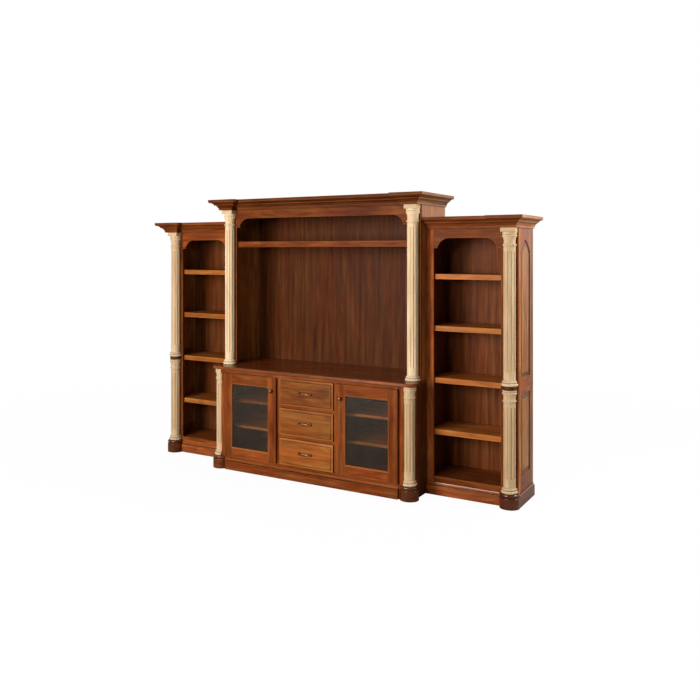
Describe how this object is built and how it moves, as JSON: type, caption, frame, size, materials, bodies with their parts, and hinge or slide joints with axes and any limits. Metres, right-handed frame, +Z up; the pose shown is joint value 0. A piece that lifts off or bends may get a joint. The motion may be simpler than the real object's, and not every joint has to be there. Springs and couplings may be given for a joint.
{
  "type": "entertainment center",
  "caption": "Breakfront entertainment center: glass-door console with drawers, arched television hutch, open bookcase piers, fluted columns and a mitred crown.",
  "frame": {"origin": "centre of the footprint on the floor", "axes": "+X to the right seen from the front, +Y from front to back, +Z up"},
  "size_m": [3.198, 0.651, 2.146],
  "materials": {
    "cherry_stain": "stained cherry under satin lacquer",
    "cream_glaze": "cream paint under an antique brown glaze",
    "dark_stain": "near-black stain, satin",
    "drawer_maple": "clear lacquered pale wood",
    "smoked_glass": "polished, smoked",
    "antique_brass": "antiqued",
    "plated_steel": "zinc plated"
  },
  "bodies": {
    "cabinet": {"base_blocks": "dark_stain", "column_rings": "dark_stain", "console_back": "cherry_stain", "console_bottom": "cherry_stain", "console_columns": "cream_glaze", "console_face_frame": "cherry_stain", "console_partitions": "cherry_stain", "console_plinth": "cherry_stain", "console_shelves": "cherry_stain", "console_sides": "cherry_stain", "console_top": "cherry_stain", "drawer_slide_channels": "plated_steel", "hinge_brackets": "antique_brass", "hutch_back": "cherry_stain", "hutch_columns": "cream_glaze", "hutch_crown": "cherry_stain", "hutch_face_frame": "cherry_stain", "hutch_shelf": "cherry_stain", "hutch_sides": "cherry_stain", "hutch_top": "cherry_stain", "left_pier_columns": "cream_glaze", "left_pier_crown": "cherry_stain", "left_pier_face_frame": "cherry_stain", "left_pier_shelves": "cherry_stain", "pier_backs": "cherry_stain", "pier_decks": "cherry_stain", "pier_inner_sides": "cherry_stain", "pier_plinths": "cherry_stain", "pier_side_frames": "cherry_stain", "pier_side_panels": "cherry_stain", "right_pier_columns": "cream_glaze", "right_pier_crown": "cherry_stain", "right_pier_face_frame": "cherry_stain", "right_pier_shelves": "cherry_stain", "shelf_cleats": "cherry_stain"},
    "left_door": {"left_door_frame": "cherry_stain", "left_door_glass": "smoked_glass", "left_door_hinge_plates": "antique_brass", "left_door_knob": "antique_brass"},
    "right_door": {"right_door_frame": "cherry_stain", "right_door_glass": "smoked_glass", "right_door_hinge_plates": "antique_brass", "right_door_knob": "antique_brass"},
    "bottom_drawer": {"bottom_drawer_box": "drawer_maple", "bottom_drawer_front": "cherry_stain", "bottom_drawer_pull_posts": "antique_brass", "bottom_drawer_runners": "plated_steel"},
    "bottom_drawer_pull": {"bottom_drawer_bail": "antique_brass"},
    "middle_drawer": {"middle_drawer_box": "drawer_maple", "middle_drawer_front": "cherry_stain", "middle_drawer_pull_posts": "antique_brass", "middle_drawer_runners": "plated_steel"},
    "middle_drawer_pull": {"middle_drawer_bail": "antique_brass"},
    "top_drawer": {"top_drawer_box": "drawer_maple", "top_drawer_front": "cherry_stain", "top_drawer_pull_posts": "antique_brass", "top_drawer_runners": "plated_steel"},
    "top_drawer_pull": {"top_drawer_bail": "antique_brass"}
  },
  "joints": [
    {"name": "left_door_hinge", "type": "hinge", "parent": "cabinet", "child": "left_door", "pos_m": [-0.749, -0.2865, 0.4385], "axis": [0, 0, -1], "range_deg": [0, 105]},
    {"name": "right_door_hinge", "type": "hinge", "parent": "cabinet", "child": "right_door", "pos_m": [0.749, -0.2865, 0.4385], "axis": [0, 0, 1], "range_deg": [0, 105]},
    {"name": "bottom_drawer_slide", "type": "slide", "parent": "cabinet", "child": "bottom_drawer", "axis": [0, -1, 0], "range_m": [0, 0.36]},
    {"name": "bottom_drawer_pull_swing", "type": "hinge", "parent": "bottom_drawer", "child": "bottom_drawer_pull", "pos_m": [0, -0.3065, 0.22417], "axis": [-1, 0, 0], "range_deg": [-10, 85]},
    {"name": "middle_drawer_slide", "type": "slide", "parent": "cabinet", "child": "middle_drawer", "axis": [0, -1, 0], "range_m": [0, 0.36]},
    {"name": "middle_drawer_pull_swing", "type": "hinge", "parent": "middle_drawer", "child": "middle_drawer_pull", "pos_m": [0, -0.3065, 0.4505], "axis": [-1, 0, 0], "range_deg": [-10, 85]},
    {"name": "top_drawer_slide", "type": "slide", "parent": "cabinet", "child": "top_drawer", "axis": [0, -1, 0], "range_m": [0, 0.36]},
    {"name": "top_drawer_pull_swing", "type": "hinge", "parent": "top_drawer", "child": "top_drawer_pull", "pos_m": [0, -0.3065, 0.67683], "axis": [-1, 0, 0], "range_deg": [-10, 85]}
  ]
}
